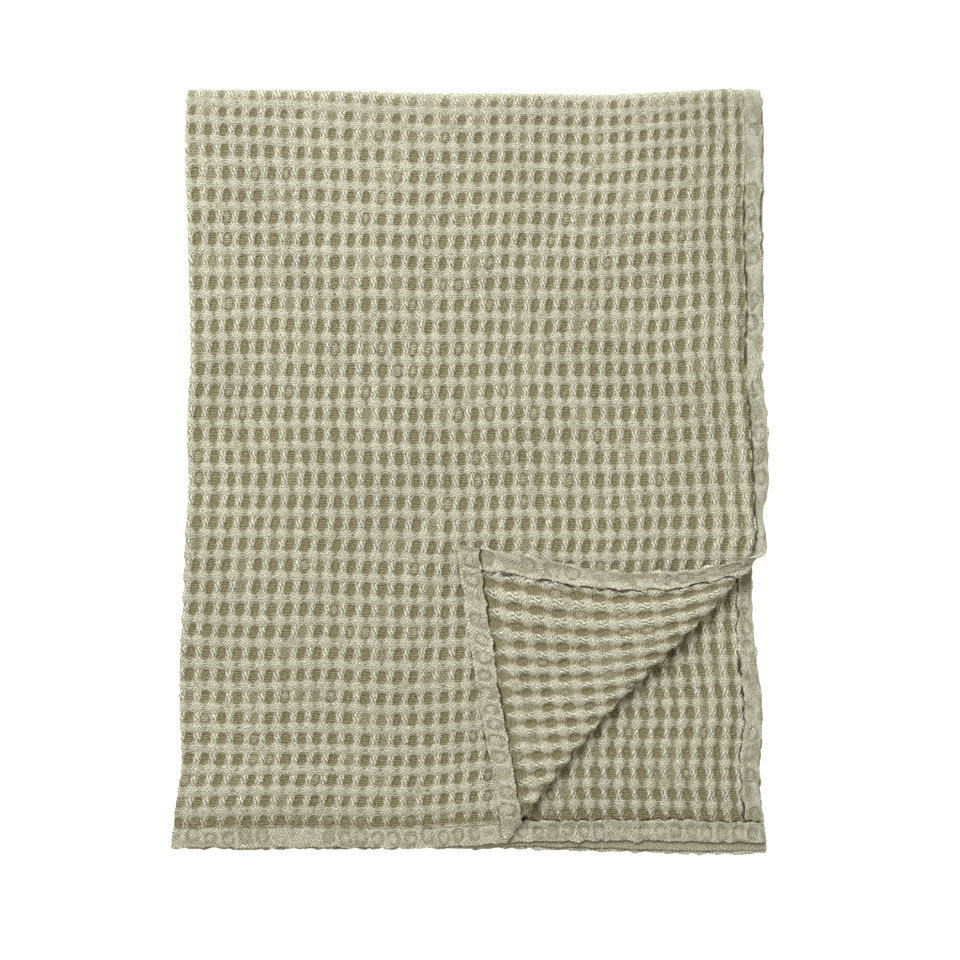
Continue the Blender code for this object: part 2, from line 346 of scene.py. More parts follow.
def lattice(u, v):
    """Column and row numbers of a point of the flat cloth. Whole numbers are floats."""
    share_across = np.clip(np.abs(u) / HALF_WIDTH, 0, 1)
    share_down = np.clip(np.abs(v) / HALF_LENGTH, 0, 1)
    shifts = curves(share_down, LATTICE_ROWS)
    lean = between(share_across, shifts[:4]) * np.sign(v) * np.sign(u) * -1
    push = between(share_across, shifts[4:]) * np.sign(v)
    crowd = HALF_WIDTH * COLUMN_CROWD * (share_across * share_across - share_across) * np.sign(u)
    column = (u - lean + crowd) / CELL_WIDE
    row = (v + push) / CELL_TALL
    column = column + 0.10 * drift("wander_x", column * 0.31 + 40, row * 0.27 + 40)
    row = row + 0.08 * drift("wander_y", column * 0.23 + 70, row * 0.35 + 70)
    return column, row


print("about", round(HALF_WIDTH / CELL_WIDE), "columns and", round(HALF_LENGTH / CELL_TALL), "rows a layer")

# %% [markdown]
# ## The waffle relief
# Every crossing is a plump, slightly diamond-shaped float of cotton. Beads of bundled yarn
# join the floats down the cloth, a few thin threads join them across, and the cells between
# are deep ovals. Some cells have popped up or are shallow, and a few floats are dented. The
# proportions change down the cloth: towards the end hem the rows are pulled into broad level
# bands with short beads between them, and beside a side hem the columns close up into ribs.
# Only a height is worked out here, and the highest form wins at each place. One surface then
# carries it all, and no cell is modelled on its own.

# %% Relief of the cloth
RELIEF_TOP = 1.15 * MM
RELIEF_FLOOR = -1.05 * MM
POPPED_SHARE = 0.080
SHALLOW = 0.26            # how much less deep a shallow cell is
DENTED_SHARE = 0.04
LEAN = 0.13               # how far a bead slants, and a float is off its place, in cells
SWAY = 0.12
FLOAT_POWER = 1.45        # a float's outline, between a diamond and an oval
CELL_POWER = 2.3          # a cell's outline, squarer than an oval
BEAD_DROP = 0.34          # how much lower a bead is at its ends
FAN_TALL = 0.64           # heights and depths, as shares of a float
EYE_DEEP = 0.50
DOME_TALL = 0.66
DENT_DEEP = 0.60
SHARP = 7                 # how sharply the highest form wins
CELL_ROWS = (
    # in thousandths: down (whole), half width and half height of cells, height of links and
    # of beads, half width of beads, half width and half length of floats
    (0.00, 180, 230, 800, 980, 300, 480, 300),
    (0.03, 235, 280, 700, 970, 285, 480, 300),
    (0.15, 275, 300, 620, 970, 270, 475, 300),
    (0.35, 285, 325, 520, 970, 260, 450, 300),
    (0.62, 292, 318, 550, 970, 260, 455, 300),
    (0.85, 322, 285, 610, 960, 275, 465, 295),
    (1.00, 322, 280, 620, 950, 285, 470, 295),
)
FLAP_CELLS = (0.262, 0.288, 0.40, 0.98, 0.190, 0.410, 0.385)
SECOND_CELLS = (0.306, 0.290, 0.36, 0.98, 0.225, 0.405, 0.290)
HEM_CELLS = (0.215, 0.360, 0.36, 1.00, 0.285, 0.400, 0.340)
NECK = 0.135              # half width of a bead where it meets a float


def relief(column, row, down, reverse, back_cells, ribbed):
    """Height from 0, the floor of a cell, to about 1, the top of a float.

    The highest of three forms: a float is a rounded diamond round each whole number, a bead
    is an oval of bundled yarn between two floats along the cloth, and a fan is the lower
    ground of threads round each oval cell, with a small eye half way between two floats.
    Where the back is up, back_cells replace the table's proportions, and where the cloth is
    ribbed, beside a side hem, HEM_CELLS do. Also gives where a cell's own cloth shows although
    it is high, how far a point is from the middle of its popped cell (1 at the rim, 3 for
    none), and where the curled threads of a bead show.
    """
    shape = [a + (b - a) * reverse for a, b in zip(curves(down, CELL_ROWS), back_cells)]
    shape = [a + (b - a) * ribbed for a, b in zip(shape, HEM_CELLS)]
    cell_wide, cell_tall, link, rope, bead_wide, float_wide, float_long = shape
    i = np.rint(column)
    j = np.rint(row)
    y = row - j
    away = np.abs(y)
    up = np.where(y > 0, 1.0, -1.0)
    mix = away * away * (3 - 4 * away) * 2
    sway_here = chance_at("sway", i, j) - 0.5
    sway_next = chance_at("sway", i, j + up) - 0.5
    x = column - i - SWAY * (sway_here * (1 - mix) + sway_next * mix)
    plump = chance_at("blob", i, j) - 0.5
    cord_row = np.where(y > 0, j, j - 1)
    thick = chance_at("cord", i, cord_row) - 0.5
    ci = np.floor(column)
    cj = np.floor(row)
    cell = chance_at("well", ci, cj)
    # float
    diamond = reach(x / (float_wide + 0.06 * plump), y / (float_long + 0.04 * plump), FLOAT_POWER)
    dent = (chance_at("dimple", i, j) < DENTED_SHARE) * dip(x, 0.0, 0.19) * dip(y, 0.0, 0.14)
    top = (1.00 + 0.14 * plump) * crown(diamond, 2.6, 0.60) - DENT_DEEP * dent
    # bead
    swell = crown((0.5 - away) / (cell_tall * 0.82))
    lean = LEAN * (y - 0.5 * up)
    half = NECK + (bead_wide - NECK + 0.03 * thick) * swell
    side = np.clip(np.abs(x - lean - 0.03) / half, 0, 1)
    bead = rope - BEAD_DROP * (1 - swell) ** 1.5 + 0.10 * thick * swell
    bead = bead * crown(side, 3.0, 0.45) * (away > 0.15)
    curl = np.clip((bead - top) * 5.0 + 0.3, 0, 1) * eased((1 - side) * 5.0) * eased(swell * 3.0)
    # threads that fan out round the oval of the cell, with an eye between two floats
    cell_x = (0.5 - np.abs(x) + np.where(x > 0, 1.0, -1.0) * lean) / cell_wide
    cell_y = (row - cj - 0.5 + 0.04 * (1 - reverse)) / (cell_tall - 0.03 * (cell - 0.5))
    oval = reach(cell_x, cell_y, CELL_POWER)
    rim = np.clip((oval - 0.86) / 0.40, 0, 1)
    between = dip(np.abs(x), 0.5, 0.13)
    fan = (FAN_TALL * (1 - between) + link * between) * crown(1 - rim, 2.0, 0.8)
    eye_y = 0.12 * (chance_at("popped", ci + 7, j) - 0.5)
    eye = dip(np.abs(x), 0.5, 0.08) * dip(y, eye_y, 0.06)
    fan = fan - EYE_DEEP * eye * (0.3 + 0.7 * cell)
    forms = sum(np.maximum(form, 0) ** SHARP for form in (bead, top, fan))
    neck = (0.13 - 0.07 * up * (1 - reverse)) * dip(away, 0.5 - cell_tall * 0.60, 0.06)
    height = forms ** (1 / SHARP) - neck * dip(x, 0.0, 0.24)
    # cells that popped up or are shallow, more of them in some patches than in others
    patch = 1 + 1.3 * drift("tone", ci * 0.16 + 20, cj * 0.16 + 20)
    popped = chance_at("popped", ci, cj) < POPPED_SHARE * patch
    dome = DOME_TALL * popped * crown(oval / 0.88, 2.4)
    ground = 1.0 * (popped & (oval < 0.92)) + 0.7 * dent
    floor = 0.08 * cell + 0.30 * (1 - eased(down / 0.045))
    floor = floor + SHALLOW * eased((cell - 0.95 + 0.14 * patch) / 0.10)
    height = np.maximum(np.maximum(height, dome), floor)
    return height, ground, np.where(popped, np.minimum(oval, 3.0), 3.0), curl


def hem_relief(cells, share, side_hem):
    """Height in a pressed hem, distance from the middle of a ring, and where threads curl.

    The highest of a low oval dome, its rim and a slanting cord between one cell and the next,
    plus a drifting crumple. Cells are counted along the hem, and share goes from -1 to 1 over
    its width. In a side hem fewer domes show, nearer to the stitches, and it crumples more.
    """
    number = np.floor(cells)
    size = 0.85 + 0.30 * chance_at("well", number, 3)
    shift = 0.40 * (chance_at("sway", number, 3) - 0.5)
    slide = 0.12 * (chance_at("sway", number, 9) - 0.5)
    shows = chance_at("blob", number, 3) > 0.22 + 0.16 * side_hem
    ring_x = (cells - number - 0.5 - slide) / (0.36 * size)
    ring_y = (share - shift + 0.15 * side_hem) / ((0.72 - 0.14 * side_hem) * size)
    oval = reach(ring_x, ring_y) + 0.17 * drift("edge", cells * 2.3, share * 1.7 + 5)
    oval = np.maximum(oval, 0)
    dome = 0.78 * crown(oval / 0.92, 2.6) * shows
    rim = 0.74 * np.clip((oval - 0.92) / 0.35, 0, 1) * shows + 0.70 * (1 - shows)
    side = cells - np.rint(cells) - 0.16 * share
    cord = (1.18 - 0.20 * side_hem) * crown(np.abs(side) / 0.16)
    cord = cord * dip(share, -0.15 * side_hem, 0.9)
    curl = eased(cord * 2) * chance_at("cord", np.rint(cells), 5)
    crumple = 0.26 + 0.30 * side_hem
    crumple = crumple * drift("lump", cells * 2.1 + share * 1.2, share * 1.5 - cells * 0.5)
    height = np.maximum(np.maximum(dome, rim), cord) + crumple
    return height, np.where(shows, np.minimum(oval, 3.0), 3.0), curl


sample_x, sample_y = np.meshgrid(np.linspace(3, 9, 240), np.linspace(3, 9, 240))
sample = relief(sample_x, sample_y, 0.4 + 0 * sample_x, 0 * sample_x, FLAP_CELLS, 0)[0]
print("relief runs from", round(float(sample.min()), 2), "to", round(float(sample.max()), 2))

# %% [markdown]
# ## The hem
# The edge is turned to the back twice and sewn down. Seen from the face it is a flat band with
# a sunk line where the thread pulls. Seen from the back it is a proud band whose inner folded
# edge is rounded and uneven. The profile is a path: out along the face, round the edge, back
# along the back, and round its own folded edge to tuck in underneath. Each point of it keeps
# its place, its level and the way that it faces.

# %% Hem profile
HEM_FACE = 0.95 * MM
HEM_BACK = -1.65 * MM
FACE_GROOVE = 0.9 * MM    # where the stitches sink in, from the inner edge of the hem
LIP_RADIUS = 0.75 * MM
LIP_RIDGE = 0.80 * MM     # how far the back stands out beside its lip
BACK_GROOVE = 0.60 * MM   # and sinks in beyond that ridge, where the thread pulls
TUCK = 3.0 * MM
EDGE_POINTS = 8
LIP_POINTS = 5
AXIS_NAMES = ("place", "level", "turn", "hem", "back", "groove", "share", "side")


def hem_profile(step, valley):
    """The hem's path as equal arrays, from its inner edge round and back.

    place is out from the inner edge, level is up, turn is the direction faced, hem and back
    are how far it is hem and back of hem, groove is how deep in the stitched groove, and
    share is how far over the width of the band, from -1 to 1. The back of the band sinks by
    valley between its puffy outer edge and its lip.
    """
    radius = (HEM_FACE - HEM_BACK) / 2
    turn_start = HEM_WIDTH - radius
    inner = np.linspace(0.0, 2 * FACE_GROOVE, 4, endpoint=False)
    outer = np.linspace(2 * FACE_GROOVE, turn_start, max(int(turn_start / step) - 1, 2), endpoint=False)
    face = np.concatenate([inner, outer])
    edge = np.linspace(0, math.pi, EDGE_POINTS)
    back_points = max(int((turn_start - 2 * LIP_RADIUS) / step), 2)
    back = np.linspace(turn_start, 2 * LIP_RADIUS, back_points)[1:-1]
    back_level = HEM_BACK + valley * dip(back, HEM_WIDTH * 0.38, HEM_WIDTH * 0.30)
    back_level = back_level - 0.4 * valley * dip(back, HEM_WIDTH * 0.78, HEM_WIDTH * 0.20)
    back_level = back_level - LIP_RIDGE * dip(back, 1.8 * MM, 1.7 * MM)
    back_level = back_level + BACK_GROOVE * dip(back, 4.8 * MM, 1.3 * MM)
    lip = np.linspace(0, math.pi, LIP_POINTS)
    lip_level = HEM_BACK - 0.50 * MM
    stretches = (
        # place, level and turn: on the face, round the edge, on the back, round the lip, tucked in
        (face, HEM_FACE + 0 * face, 0 * face),
        (turn_start + radius * np.sin(edge), HEM_BACK + radius * (1 + np.cos(edge)), edge),
        (back, back_level, math.pi + 0 * back),
        (LIP_RADIUS - LIP_RADIUS * np.sin(lip), lip_level + LIP_RADIUS * (1 - np.cos(lip)),
         math.pi + lip),
        ([TUCK], [lip_level + 2 * LIP_RADIUS], [2 * math.pi]),
    )
    place, level, turn = [np.concatenate(values) for values in zip(*stretches)]
    hem = np.concatenate([eased(face / (1.6 * MM)), np.ones(len(turn) - len(face))])
    back_share = np.clip(turn / math.pi, 0, 1)
    groove = dip(place, FACE_GROOVE, 1.15 * MM) * (turn == 0)
    share = (place - HEM_WIDTH / 2) / (HEM_WIDTH / 2)
    return [place, level, turn, hem, back_share, groove, share]


profile = hem_profile(1.0 * MM, 0.0)
print(len(profile[0]), "points go round the hem, and",
      round(float(np.hypot(np.diff(profile[0]), np.diff(profile[1])).sum()) / MM, 1), "mm of cloth")

# %% [markdown]
# ## A grid of cloth
# Each layer is a grid of two axes, one across and one along. An axis is a list of plain places,
# and it ends in a hem where the cloth does. Splitting the cloth by layer lets the ones that
# show have small squares, and the hidden ones large squares.

# %% Axes
def plain(start, stop, step):
    """Even places from start towards stop, which is left for the next stretch to begin with."""
    count = max(int(round(abs(stop - start) / step)), 1)
    place = np.linspace(start, stop, count, endpoint=False)
    return dict(zip(AXIS_NAMES, [place] + [np.zeros(count)] * 7))


def hemmed(edge, step, valley):
    """The hem at a cloth edge: the middle of its path is the face path less HEM_FACE."""
    place, level, turn, *rest = hem_profile(step, valley)
    side = math.copysign(1.0, edge)
    middle_place = edge + side * (place - HEM_FACE * np.sin(turn) - HEM_WIDTH)
    middle_level = level - HEM_FACE * np.cos(turn)
    return dict(zip(AXIS_NAMES, [middle_place, middle_level, turn, *rest, side + 0 * place]))


def axis(*stretches):
    """Stretches joined end to end."""
    return {name: np.concatenate([s[name] for s in stretches]) for name in AXIS_NAMES}


FINE_ACROSS = 0.98 * MM
FINE_ALONG = 1.14 * MM
PAST_FOLD = 6.0 * MM      # how far the top and bottom layers go on past a fold
PAST_TOP = 12.0 * MM
UNDER_START = 5.0 * MM    # where the layers between them start
SHOWN_U = 192.0 * MM      # from here outwards a corner of the second layer shows
SHOWN_V = 290.0 * MM
CUT = 262.0 * MM          # where the top layer's grid is cut in two
inner_u = HALF_WIDTH - HEM_WIDTH
inner_v = HALF_LENGTH - HEM_WIDTH

across_top = axis(plain(-PAST_FOLD, inner_u, FINE_ACROSS), hemmed(HALF_WIDTH, 1.3 * MM, 1.3 * MM))
along_top = axis(plain(PAST_TOP, -inner_v, FINE_ALONG), hemmed(-HALF_LENGTH, 1.3 * MM, 0.3 * MM))
across_second = axis(plain(-UNDER_START, -SHOWN_U, 6 * MM), plain(-SHOWN_U, -inner_u, FINE_ACROSS),
                     hemmed(-HALF_WIDTH, 1.3 * MM, 0.5 * MM))
along_second = axis(plain(1 * MM, -9 * MM, 1 * MM), plain(-9 * MM, -SHOWN_V, 3.6 * MM),
                    plain(-SHOWN_V, -inner_v, FINE_ALONG), hemmed(-HALF_LENGTH, 1.3 * MM, 0.3 * MM))
across_third = axis(plain(-UNDER_START, -inner_u, 7 * MM), hemmed(-HALF_WIDTH, 3.5 * MM, 0.0))
along_third = axis(plain(0, 9 * MM, 1 * MM), plain(9 * MM, inner_v, 6 * MM),
                   hemmed(HALF_LENGTH, 3.5 * MM, 0.0))
along_fourth = axis(plain(PAST_TOP, inner_v, 2.5 * MM), hemmed(HALF_LENGTH, 2.0 * MM, 0.2 * MM))
print("top layer grid:", len(across_top["place"]), "x", len(along_top["place"]))

# %% [markdown]
# ## Drawn in and sewn
# Stitching draws a side hem in a little, and most of all where the top one turns over at the
# corner. That is worked out as a shift of the flat cloth, which fades inwards, so that the
# waffle beside the hem is pulled along with it. A hem also has shade in lines that are too
# narrow for the grid: in the groove that the stitches pull, and in the gap under the folded lip.
# It is kept as a value of the mesh, and the cotton paints it in as dark shade.

# %% Gathered hems
TURN_AT = -282.0 * MM     # where the side hem turns over, from the middle of the cloth
TURN_TUCK = 5.0 * MM      # how far the turn draws in the outer edge
GATHER = 2.2 * MM         # how much narrower the side hem is than as sewn
GATHER_FLAP = 4.0 * MM    # the same, past where it turns over
GATHER_TURN = 3.0 * MM    # what the turn itself adds to that
GATHER_SECOND = 3.4 * MM  # what lying under the turned corner adds, in the second layer
GATHER_EASE = 30.0 * MM   # from the top fold to where it is drawn in fully


def gathered(u, v):
    """Place across with the side hems drawn in: u + gather x deep x exp(1 - deep).

    deep counts hem widths in from the edge, so the hem's inner edge moves furthest.
    """
    deep = np.maximum((HALF_WIDTH - np.abs(u)) / HEM_WIDTH, 0.0)
    past_turn = eased((TURN_AT - v) / (26 * MM) + 0.5)
    top = GATHER + (GATHER_FLAP - GATHER) * past_turn + GATHER_TURN * dip(v, TURN_AT, 24 * MM)
    second = GATHER + GATHER_SECOND * eased((v + 400 * MM) / (90 * MM))
    tuck = TURN_TUCK * dip(v, TURN_AT + 3 * MM, 13 * MM) * np.exp(-deep) * (u > 0)
    gather = np.where(u > 0, top, second) * deep * np.exp(1 - deep) - tuck
    return u + np.sign(u) * gather * eased(-v / GATHER_EASE)


# %% Painted shade in the narrow lines of the hems
LIP_WANDER = 0.95 * MM
RIDGE = 4.6 * MM          # from the inner edge of a hem to the groove beyond its ridge
RIDGE_LINE = 0.42         # how dark that groove is, where the gap under a lip is 1
FACE_LINE = 0.38          # the same for the groove on the face of an end hem


def groove_and_gap_shade(a, b, u, v, wave, reverse):
    """Painted shade from 0 to 1: the greatest of narrow humps along each line.

    On the face it is shade in the stitched groove, and on the back shade in the gap beside the
    lip and in the groove beyond the ridge. a and b are the axes across and along, and wave is how
    the lip wanders. Side hems end where an end hem lies over them.
    """
    lip_wave = 0.8 * LIP_WANDER * wave
    open_end = 1 - b["hem"]
    gap_u = dip(np.abs(u) - inner_u - lip_wave, -0.5 * MM, 1.0 * MM) * (a["turn"] == 0)
    gap_v = dip(np.abs(v) - inner_v - lip_wave, -0.4 * MM, 1.1 * MM) * (b["turn"] == 0)
    gap = np.maximum(gap_u * open_end, gap_v) * reverse
    ridge_u = dip(a["place"], a["side"] * (inner_u + RIDGE), 1.0 * MM) * (a["turn"] == math.pi)
    ridge_v = dip(b["place"], b["side"] * (inner_v + RIDGE), 1.0 * MM) * (b["turn"] == math.pi)
    ridge = RIDGE_LINE * np.maximum(ridge_u * open_end, ridge_v)
    side_face = a["groove"] * open_end * eased((-v - 30 * MM) / (60 * MM))
    end_face = FACE_LINE * b["groove"] * (1 - a["back"])
    return np.maximum(np.maximum(side_face, end_face), np.maximum(gap, ridge))


# %% [markdown]
# ## Sewing the grid
# The cloth's surface is its relief inside the hems and the hem's path at the edges, where the
# waffle still shows faintly through the pressed band. The side hem is turned first and the end
# hem over it, as on the real blanket, so at a corner the end band lies on top.

# %% Cloth surface before and after folding
BAND_RELIEF = 1.30 * MM
BAND_MIDDLE = 0.8         # the height in a hem's relief that lies level with its path
BAND_LUMP = 0.16 * MM
GROOVE_DEEP = 1.40 * MM
CORNER_LIFT = 0.60 * MM
CORNER_SQUASH = 0.9       # how flat a side hem is pressed inside the end hem
EDGE_WANDER = 0.75 * MM
BACK_BOLDER = 0.30        # the relief stands out more where the back shows
RIBBED = 0.85             # how far the last columns close up into ribs
RIBS_FROM = 0.865         # where they start to, as a share of the half width
RIBS_EASE = 0.05
SHOULDER = 0.50           # the share of its height that the waffle loses beside an end hem
SCALLOP = 0.80 * MM       # how far side edges bulge beside each row


def cloth(across, along, back_up, detail, back_cells):
    """Surface point = middle of the path + height x direction faced, across and then along.

    back_up says where the relief stands out on the back instead of the face, and detail where
    the grid is fine enough to carry it. Both take the flat places u and v. back_cells are the
    proportions of the waffle where the back is up.
    """
    a = {name: values[None, :] for name, values in across.items()}
    b = {name: values[:, None] for name, values in along.items()}
    u = a["place"] + 0 * b["place"]
    v = b["place"] + 0 * a["place"]
    hem = 1 - (1 - a["hem"]) * (1 - b["hem"])
    column, row = lattice(u, v)
    reverse = back_up(u, v)
    fine = detail(u, v)
    down = np.clip(np.abs(v) / HALF_LENGTH, 0, 1)
    ribbed = RIBBED * eased((np.abs(u) / HALF_WIDTH - RIBS_FROM) / RIBS_EASE)
    tall, ground, ring, curl = relief(column, row, down, reverse, back_cells, ribbed)
    tall = tall * (1 - SHOULDER * dip(np.abs(v) - inner_v, -2.4 * MM, 2.2 * MM) * (v < 0))
    # the hem's own relief, counted along it and over its width
    end_hem = (b["hem"] > 0.5) & ((b["back"] + a["hem"] > 0.5) | (a["hem"] < 0.5))
    cells = np.where(end_hem, column, row)
    share = np.where(end_hem, b["share"] + 0 * u, a["share"] + 0 * u)
    band_tall, band_ring, band_curl = hem_relief(cells, share, 1.0 - end_hem)
    face = (RELIEF_FLOOR + (RELIEF_TOP - RELIEF_FLOOR) * tall) * (1 + BACK_BOLDER * reverse)
    inside = face * (1 - 2 * reverse) * fine
    groove = a["groove"] * (1 - b["back"]) + b["groove"] * (1 - a["back"])
    band = BAND_RELIEF * (band_tall - BAND_MIDDLE) * fine - GROOVE_DEEP * groove
    band = band + BAND_LUMP * drift("lump", column * 0.9 + 9, row * 0.9 + 9)
    height = inside * (1 - hem) + (HEM_FACE + band) * hem
    # the lip and the outer edge both wander, in step with the cells and by chance
    wave = 0.30 * np.cos(2 * math.pi * cells) + 0.7 * drift("edge", column * 1.6, row * 1.6)
    wave = wave + 0.9 * drift("lump", column * 2.7 + 3, row * 2.7 + 3)
    wave = wave + 0.5 * drift("tone", column * 5.7, row * 7.3)
    lip_u, lip_v = [c["side"] * dip(c["turn"], 1.5 * math.pi, 1.0) for c in (a, b)]
    edge_u, edge_v = [c["side"] * dip(c["turn"], 0.5 * math.pi, 1.3) for c in (a, b)]
    edge_u = edge_u * (1 - b["hem"])
    flat_u = u + a["side"] * height * np.sin(a["turn"])
    flat_u = flat_u + wave * (LIP_WANDER * lip_u + EDGE_WANDER * edge_u)
    flat_u = flat_u - SCALLOP * np.cos(2 * math.pi * row) * edge_u
    # the side hem's section goes round the end hem's path
    section = a["level"] + height * np.cos(a["turn"])
    squash = CORNER_SQUASH * eased(b["turn"] / (math.pi / 2)) * a["back"]
    section = section + (HEM_FACE - section) * squash
    flat_v = v + b["side"] * section * np.sin(b["turn"])
    flat_v = flat_v + wave * (LIP_WANDER * lip_v + EDGE_WANDER * edge_v)
    doubled = eased((np.abs(u) - inner_u + 4 * MM) / (8 * MM))
    level = b["level"] + section * np.cos(b["turn"]) - CORNER_LIFT * doubled * b["back"]
    x, y, z = fold(gathered(flat_u, flat_v), flat_v, level)
    # breaks the painted shade of the hems' grooves and gaps into dashes along the stitches
    stitches = 0.80 + 0.6 * drift("hem", column * 4.3, row * 4.3)
    data = {
        "column": column,
        "row": row,
        "tall": (tall * (1 - hem) + band_tall * hem) * fine + 0.5 * (1 - fine),
        "hem": hem,
        "curl": (curl * (1 - hem) + 0.8 * band_curl * hem) * fine,
        "ground": ground * fine * (1 - hem),
        "ring": np.where(hem > 0.5, band_ring, ring) * fine + 3 * (1 - fine),
        # painted shade in the grooves and gaps of the hems
        "painted_groove_shade": np.clip(groove_and_gap_shade(a, b, u, v, wave, reverse) * stitches, 0, 1),
    }
    return np.stack([x - CENTRE_X, y - CENTRE_Y, z], axis=-1), data


def grid_faces(rows, columns, flip):
    """Corner numbers of each square of a grid of points, wound either way."""
    number = np.arange(rows * columns).reshape(rows, columns)
    corners = [number[:-1, :-1], number[:-1, 1:], number[1:, 1:], number[1:, :-1]]
    if flip:
        corners = corners[::-1]
    return np.stack([c.ravel() for c in corners], axis=-1)


def grid_normals(points, flip):
    """Direction faced at each grid point: the cross product of its slopes across and along."""
    normal = np.cross(np.gradient(points, axis=1), np.gradient(points, axis=0))
    normal = normal / np.maximum(np.linalg.norm(normal, axis=-1, keepdims=True), 1e-12)
    return -normal if flip else normal


def into_scene(name, data):
    """Put a mesh, a light or a camera into the scene as an object."""
    made = bpy.data.objects.new(name, data)
    bpy.context.scene.collection.objects.link(made)
    return made


# one of these values is painted shade in the grooves and gaps of the hems
MESH_VALUES = ("tall", "hem", "ground", "ring", "painted_groove_shade", "curl")


def add_cloth(name, points, data, flip, material):
    """Put a grid of points into a mesh, with its lattice as a UV map and its data as attributes."""
    faces = grid_faces(*points.shape[:2], flip)
    mesh = bpy.data.meshes.new(name)
    mesh.from_pydata(points.reshape(-1, 3), [], faces, shade_flat=False)
    uv = mesh.uv_layers.new(name="weave")
    places = np.stack([data["column"].ravel(), data["row"].ravel()], axis=-1)
    uv.data.foreach_set("uv", places[faces.ravel()].ravel())
    for key in MESH_VALUES:
        layer = mesh.attributes.new(key, "FLOAT", "POINT")
        layer.data.foreach_set("value", data[key].ravel())
    mesh.validate()
    mesh.normals_split_custom_set_from_vertices(grid_normals(points, flip).reshape(-1, 3))
    mesh.materials.append(material)
    print(name, "has", 2 * len(faces), "triangles")
    return into_scene(name, mesh)


# %% [markdown]
# ## The cotton
# Unbleached washed cotton is a warm grey-green. The floor of a cell is darker and more olive
# than the plump floats: partly because light gets through the thin floor and is lost there, and
# partly as painted shade in the cells. The waffle itself is in the mesh. Threads are too fine
# for that, so they are bump and painted light and shade: level threads across the floor of a
# cell, S-shaped curls along a bead and a dotted weave on the floats, with painted shade between
# threads. Each is a wave along the lattice, which is the UV map, broken up by noise, because a
# clean wave looks printed. Attributes of the mesh say where each kind of thread shows, and where
# the hems get painted shade in their grooves and gaps.

# %% Sums on shader nodes
class Signal:
    """What a node gives out, so that + - and x add the nodes that work them out."""

    def __init__(self, socket):
        self.socket = socket
        self.tree = socket.id_data

    def __add__(self, other):
        return maths("ADD", self, other)

    def __sub__(self, other):
        return maths("SUBTRACT", self, other)

    def __rsub__(self, other):
        return maths("SUBTRACT", other, self)

    def __mul__(self, other):
        return maths("MULTIPLY", self, other)

    __radd__ = __add__
    __rmul__ = __mul__


def feed(made, values):
    """Give a node's inputs, by name or number, a signal or a plain value each."""
    for key, value in values.items():
        if isinstance(value, Signal):
            value.tree.links.new(value.socket, made.inputs[key])
        else:
            made.inputs[key].default_value = value


def signal(tree, kind, output, values=None, **settings):
    """Add a node of one kind, with its inputs and plain properties, and take one output."""
    made = tree.nodes.new(kind)
    for name, value in settings.items():
        setattr(made, name, value)
    feed(made, values or {})
    return Signal(made.outputs[output])


def maths(operation, *values):
    """One arithmetic node on signals and numbers."""
    tree = next(value.tree for value in values if isinstance(value, Signal))
    return signal(tree, "ShaderNodeMath", 0, dict(enumerate(values)), operation=operation)


def smooth_range(value, low, high, start=0.0, stop=1.0):
    """Smooth steps from start to stop as value goes from low to high."""
    values = dict(enumerate((value, low, high, start, stop)))
    return signal(value.tree, "ShaderNodeMapRange", "Result", values, interpolation_type="SMOOTHSTEP")


def blend_colour(share, first, second):
    """Mix two colours by a share."""
    values = {"Factor": share, "A": first, "B": second}
    return signal(share.tree, "ShaderNodeMix", "Result", values, data_type="RGBA")


def noise(vector, scale, detail=2.0, roughness=0.5):
    """Noise from 0 to 1 on a vector."""
    values = {"Vector": vector, "Scale": scale, "Detail": detail, "Roughness": roughness}
    return signal(vector.tree, "ShaderNodeTexNoise", "Fac", values)


def joined(first, second):
    """A vector of two signals."""
    return signal(first.tree, "ShaderNodeCombineXYZ", "Vector", {"X": first, "Y": second})


# %% Cotton material
# the well colour is darker partly for the thin floor of a cell and partly as painted shade
WELL_COLOUR_AND_SHADE = (0.226, 0.200, 0.104, 1.0)
FLOAT_COLOUR = (0.530, 0.518, 0.398, 1.0)
# the colour of the painted shade in the grooves and gaps of the hems
GROOVE_SHADE_COLOUR = (0.060, 0.044, 0.018, 1.0)
THREAD_LEVEL = 1.70       # mm between threads that lie across
THREAD_TWIST = 2.30       # mm between the threads of a bead
THREAD_DOTS = 2.20        # mm between the dots of a float
CURL_WIDE = 0.90          # mm that the threads of a bead swing to each side, as an S
CURL_LONG = 0.56          # cells along one whole S
BUMP = 0.9                # strength of the bump, and its height
BUMP_TALL = 0.8 * MM
TURN = 2 * math.pi


def thread_noise(first, second, coarse, fine):
    """Streaky noise: coarse counts along the first direction, fine along the second."""
    return noise(joined(first * coarse, second * fine), 1.0, 1.5, 0.55)


def thread_wave(place, pitch, wander):
    """A wave from -1 to 1 over threads a pitch apart in mm, pushed to and fro by a wander."""
    return maths("SINE", place * (TURN / pitch) + wander * 9.0)


